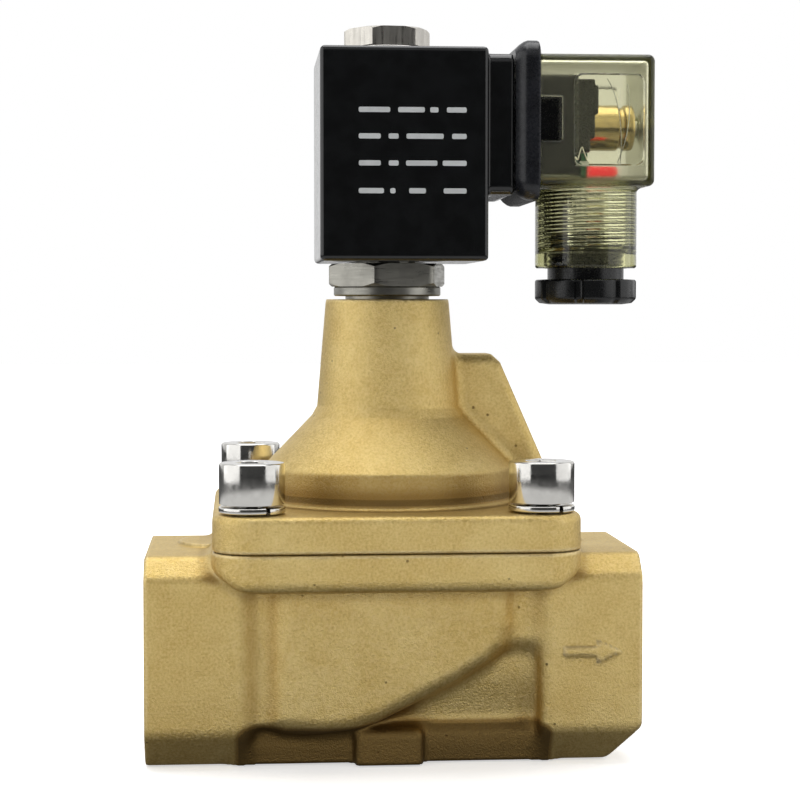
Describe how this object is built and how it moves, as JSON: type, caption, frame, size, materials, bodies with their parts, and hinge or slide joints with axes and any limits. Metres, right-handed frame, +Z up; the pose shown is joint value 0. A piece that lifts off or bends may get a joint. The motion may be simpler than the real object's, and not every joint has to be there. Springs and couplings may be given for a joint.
{
  "type": "solenoid valve",
  "caption": "Pilot-operated brass solenoid valve: in-line threaded ports, square diaphragm bonnet with a tall neck, block coil on top and a side plug connector with a cable gland.",
  "frame": {"origin": "on the plunger's vertical axis, in the plane of the body's underside", "axes": "+Z up along the plunger's axis, +X along the flow from the inlet to the outlet, +Y to the rear"},
  "size_m": [0.1005, 0.069, 0.142],
  "materials": {
    "cast_brass": "blasted casting",
    "turned_brass": "turned",
    "bright_plating": "bright nickel plating",
    "stainless": "turned stainless steel",
    "spring_steel": "drawn wire",
    "copper": "enamelled wire",
    "black_rubber": "moulded",
    "grey_rubber": "moulded",
    "coil_black": "gloss moulded",
    "black_nylon": "moulded",
    "smoked_clear": "clear moulded, lightly smoked",
    "board_green": "solder mask",
    "lamp_red": "clear coloured"
  },
  "bodies": {
    "valve": {"valve_body": "cast_brass", "bonnet": "cast_brass", "pilot_seat": "stainless", "cap_screw_front_left": "bright_plating", "cap_screw_front_right": "bright_plating", "cap_screw_rear_left": "bright_plating", "cap_screw_rear_right": "bright_plating", "spring_washer_front_left": "bright_plating", "spring_washer_front_right": "bright_plating", "spring_washer_rear_left": "bright_plating", "spring_washer_rear_right": "bright_plating", "tube_base_nut": "stainless", "armature_tube": "stainless", "tube_seal": "black_rubber", "fixed_core": "stainless", "shading_ring": "copper", "coil_nut": "bright_plating", "nut_washer": "bright_plating"},
    "plunger": {"plunger": "stainless", "plunger_seal": "black_rubber", "plunger_spring": "spring_steel"},
    "diaphragm": {"diaphragm": "black_rubber", "backing_plate": "stainless", "seat_plate": "stainless", "diaphragm_bolt": "stainless", "diaphragm_nut": "stainless", "main_spring": "spring_steel"},
    "coil": {"coil_housing": "coil_black", "yoke_frame": "stainless", "coil_bobbin": "black_nylon", "coil_winding": "copper", "coil_pin_left": "bright_plating", "coil_pin_right": "bright_plating", "coil_pin_earth": "bright_plating"},
    "plug": {"connector_gasket": "grey_rubber", "connector_cover": "smoked_clear", "terminal_block": "black_nylon", "socket_left": "bright_plating", "socket_right": "bright_plating", "screw_sleeve": "turned_brass", "connector_screw": "bright_plating", "indicator_board": "board_green", "indicator_lamp": "lamp_red", "cable_seal": "black_rubber"},
    "gland": {"gland_nut": "black_nylon"}
  },
  "joints": [
    {"name": "plunger_lift", "type": "slide", "parent": "valve", "child": "plunger", "axis": [0, 0, 1], "range_m": [0, 0.0018], "stiffness_N_per_m": 400, "springref_m": -0.006, "deforming": ["plunger_spring"]},
    {"name": "diaphragm_lift", "type": "slide", "parent": "valve", "child": "diaphragm", "axis": [0, 0, 1], "range_m": [0, 0.005], "stiffness_N_per_m": 500, "springref_m": -0.008, "deforming": ["main_spring", "diaphragm"]},
    {"name": "coil_swivel", "type": "hinge", "parent": "valve", "child": "coil", "pos_m": [0, 0, 0.0963], "axis": [0, 0, 1], "continuous": true},
    {"name": "plug_pull", "type": "slide", "parent": "coil", "child": "plug", "axis": [1, 0, 0], "range_m": [0, 0.016]},
    {"name": "gland_turn", "type": "hinge", "parent": "plug", "child": "gland", "pos_m": [0.0398, 0, 0.0929], "axis": [0, 0, 1], "continuous": true}
  ]
}
